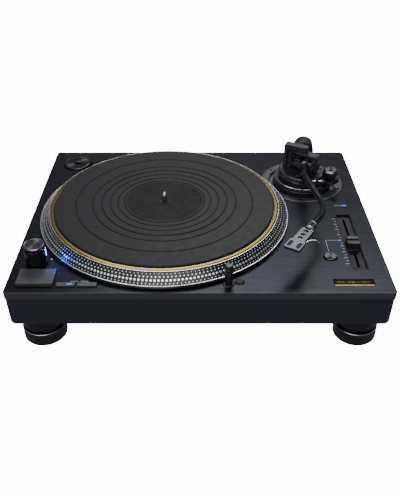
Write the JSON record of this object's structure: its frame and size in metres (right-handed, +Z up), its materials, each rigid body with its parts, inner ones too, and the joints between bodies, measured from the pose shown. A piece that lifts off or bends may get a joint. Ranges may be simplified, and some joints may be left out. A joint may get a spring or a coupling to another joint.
{
  "type": "turntable record player",
  "caption": "Direct-drive record turntable with a slanted strobe rim on its platter, an S-shaped tonearm on a gimbal, a pitch fader and height-adjustable feet.",
  "frame": {"origin": "middle of the plinth at floor level, under the feet", "axes": "+X to the right, +Y to the back, +Z up; the front edge faces -Y"},
  "size_m": [0.453, 0.353, 0.16],
  "materials": {
    "deck_aluminium": "brushed black anodising",
    "black_aluminium": "satin black anodising with bright machined edges",
    "bright_aluminium": "turned, bright",
    "cast_aluminium": "as cast",
    "black_paint": "satin black paint",
    "black_moulding": "fine-textured black moulding",
    "gloss_black_plastic": "gloss black",
    "black_rubber": "matt moulded rubber",
    "gold": "gold plating, satin",
    "steel": "turned steel",
    "blackened_steel": "turned and blackened",
    "circuit_board": "solder resist and parts",
    "blue_light": "lit blue-white lens",
    "white_print": "printed marks"
  },
  "bodies": {
    "plinth": {"top_plate": "deck_aluminium", "base_shell": "black_moulding", "bottom_cover": "black_rubber", "chassis_frame": "cast_aluminium", "motor_stator": "cast_aluminium", "bearing_housing": "steel", "main_board": "circuit_board", "power_supply": "circuit_board", "terminal_panel": "black_moulding", "ac_inlet": "black_moulding", "phono_jack_left": "gold", "phono_jack_right": "gold", "strobe_post": "gloss_black_plastic", "strobe_window": "blue_light", "target_light_collar": "black_aluminium", "pitch_fader_bezel": "black_moulding", "pitch_potentiometer": "steel", "nameplate": "gold", "arm_flange": "black_paint"},
    "ground_nut": {"ground_terminal": "gold"},
    "front_left_foot": {"foot_front_left": "black_aluminium"},
    "front_right_foot": {"foot_front_right": "black_aluminium"},
    "rear_left_foot": {"foot_rear_left": "black_aluminium"},
    "rear_right_foot": {"foot_rear_right": "black_aluminium"},
    "turntable_platter": {"platter": "bright_aluminium", "platter_trim_ring": "gold", "motor_rotor": "steel", "spindle": "steel"},
    "mat": {"rubber_mat": "black_rubber"},
    "adaptor": {"adaptor_45": "black_aluminium"},
    "power_dial": {"power_knob": "black_aluminium"},
    "start_stop_key": {"start_stop_button": "black_moulding"},
    "speed_33_key": {"speed_33_button": "black_moulding"},
    "speed_45_key": {"speed_45_button": "black_moulding"},
    "range_key": {"range_button": "black_moulding"},
    "reset_key": {"reset_button": "bright_aluminium"},
    "light_key": {"light_button": "bright_aluminium"},
    "target_lamp": {"target_light": "black_aluminium"},
    "pitch_fader": {"pitch_slider": "black_moulding"},
    "height_adjuster": {"height_ring": "black_aluminium"},
    "arm_base": {"arm_drum": "black_aluminium", "bridge_plate": "black_paint", "arm_rest": "black_moulding", "pivot_bracket": "black_paint"},
    "clip": {"arm_clip": "black_moulding"},
    "cue_handle": {"cue_lever": "black_paint"},
    "cue_platform": {"cue_lift": "black_moulding"},
    "skate_dial": {"anti_skate_dial": "black_aluminium"},
    "yoke": {"yoke_frame": "black_paint"},
    "tonearm": {"pivot_housing": "black_aluminium", "arm_tube": "black_aluminium", "rear_shaft": "black_aluminium"},
    "lock_nut": {"headshell_nut": "black_aluminium"},
    "headshell_unit": {"headshell": "bright_aluminium", "headshell_connector": "black_aluminium", "finger_lift": "steel"},
    "balance_weight": {"counterweight": "blackened_steel"},
    "force_ring": {"force_dial": "black_moulding"}
  },
  "joints": [
    {"name": "platter_spin", "type": "hinge", "parent": "plinth", "child": "turntable_platter", "pos_m": [-0.0475, -0.0055, 0.119], "axis": [0, 0, -1], "continuous": true},
    {"name": "mat_lift_off", "type": "slide", "parent": "turntable_platter", "child": "mat", "axis": [0, 0, 1], "range_m": [0, 0.03]},
    {"name": "adaptor_lift_off", "type": "slide", "parent": "plinth", "child": "adaptor", "axis": [0, 0, 1], "range_m": [0, 0.025]},
    {"name": "front_left_foot_height", "type": "slide", "parent": "plinth", "child": "front_left_foot", "axis": [0, 0, -1], "range_m": [0, 0.006]},
    {"name": "front_right_foot_height", "type": "slide", "parent": "plinth", "child": "front_right_foot", "axis": [0, 0, -1], "range_m": [0, 0.006]},
    {"name": "rear_left_foot_height", "type": "slide", "parent": "plinth", "child": "rear_left_foot", "axis": [0, 0, -1], "range_m": [0, 0.006]},
    {"name": "rear_right_foot_height", "type": "slide", "parent": "plinth", "child": "rear_right_foot", "axis": [0, 0, -1], "range_m": [0, 0.006]},
    {"name": "power_turn", "type": "hinge", "parent": "plinth", "child": "power_dial", "pos_m": [-0.1975, -0.1215, 0.13], "axis": [0, 0, 1], "range_deg": [0, 60]},
    {"name": "start_stop_press", "type": "slide", "parent": "plinth", "child": "start_stop_key", "axis": [0, 0, -1], "range_m": [0, 0.0012], "stiffness_N_per_m": 400, "springref_m": -0.001},
    {"name": "speed_33_press", "type": "slide", "parent": "plinth", "child": "speed_33_key", "axis": [0, 0, -1], "range_m": [0, 0.001], "stiffness_N_per_m": 400, "springref_m": -0.001},
    {"name": "speed_45_press", "type": "slide", "parent": "plinth", "child": "speed_45_key", "axis": [0, 0, -1], "range_m": [0, 0.001], "stiffness_N_per_m": 400, "springref_m": -0.001},
    {"name": "range_press", "type": "slide", "parent": "plinth", "child": "range_key", "axis": [0, 0, -1], "range_m": [0, 0.0007], "stiffness_N_per_m": 400, "springref_m": -0.001},
    {"name": "reset_press", "type": "slide", "parent": "plinth", "child": "reset_key", "axis": [0, 0, -1], "range_m": [0, 0.001], "stiffness_N_per_m": 400, "springref_m": -0.001},
    {"name": "light_press", "type": "slide", "parent": "plinth", "child": "light_key", "axis": [0, 0, -1], "range_m": [0, 0.0007], "stiffness_N_per_m": 400, "springref_m": -0.001},
    {"name": "target_light_rise", "type": "slide", "parent": "plinth", "child": "target_lamp", "axis": [0, 0, 1], "range_m": [-0.026, 0]},
    {"name": "pitch_slide", "type": "slide", "parent": "plinth", "child": "pitch_fader", "axis": [0, 1, 0], "range_m": [-0.0395, 0.0595]},
    {"name": "ground_terminal_turn", "type": "hinge", "parent": "plinth", "child": "ground_nut", "pos_m": [0.15, 0.1591, 0.0725], "axis": [0, 1, 0], "range_deg": [0, 720]},
    {"name": "height_ring_turn", "type": "hinge", "parent": "plinth", "child": "height_adjuster", "pos_m": [0.1493, 0.0815, 0.108], "axis": [0, 0, 1], "range_deg": [0, 240]},
    {"name": "arm_base_rise", "type": "slide", "parent": "plinth", "child": "arm_base", "axis": [0, 0, 1], "range_m": [0, 0.006]},
    {"name": "arm_clip_swing", "type": "hinge", "parent": "arm_base", "child": "clip", "pos_m": [0.152, 0.0435, 0.147], "axis": [0, 1, 0], "range_deg": [-140, 0]},
    {"name": "cue_lever_swing", "type": "hinge", "parent": "arm_base", "child": "cue_handle", "pos_m": [0.184, 0.0525, 0.1165], "axis": [-0.8572, -0.515, 0], "range_deg": [0, 60]},
    {"name": "cue_lift_rise", "type": "slide", "parent": "arm_base", "child": "cue_platform", "axis": [0, 0, 1], "range_m": [0, 0.008]},
    {"name": "anti_skate_turn", "type": "hinge", "parent": "arm_base", "child": "skate_dial", "pos_m": [0.1865, 0.0645, 0.127], "axis": [0, 0, 1], "range_deg": [0, 300]},
    {"name": "arm_swing", "type": "hinge", "parent": "arm_base", "child": "yoke", "pos_m": [0.1493, 0.0815, 0.141], "axis": [0, 0, -1], "range_deg": [0, 40]},
    {"name": "arm_tilt", "type": "hinge", "parent": "yoke", "child": "tonearm", "pos_m": [0.1493, 0.0815, 0.141], "axis": [-0.809, 0.5878, 0], "range_deg": [0, 12]},
    {"name": "headshell_nut_turn", "type": "hinge", "parent": "tonearm", "child": "lock_nut", "pos_m": [0.1376, -0.0919, 0.141], "axis": [-0.5299, -0.848, 0], "range_deg": [0, 180]},
    {"name": "headshell_pull", "type": "slide", "parent": "tonearm", "child": "headshell_unit", "axis": [-0.5299, -0.848, 0], "range_m": [0, 0.012]},
    {"name": "weight_slide", "type": "slide", "parent": "tonearm", "child": "balance_weight", "axis": [0.1045, 0.9945, 0], "range_m": [-0.003, 0.008]},
    {"name": "force_dial_turn", "type": "hinge", "parent": "balance_weight", "child": "force_ring", "pos_m": [0.1493, 0.0815, 0.141], "axis": [0.1045, 0.9945, 0], "continuous": true}
  ],
  "couplings": [
    {"joint": "height_ring_turn", "follows": "arm_base_rise", "rad_per_m": 698.13},
    {"joint": "cue_lever_swing", "follows": "cue_lift_rise", "rad_per_m": 130.9}
  ]
}
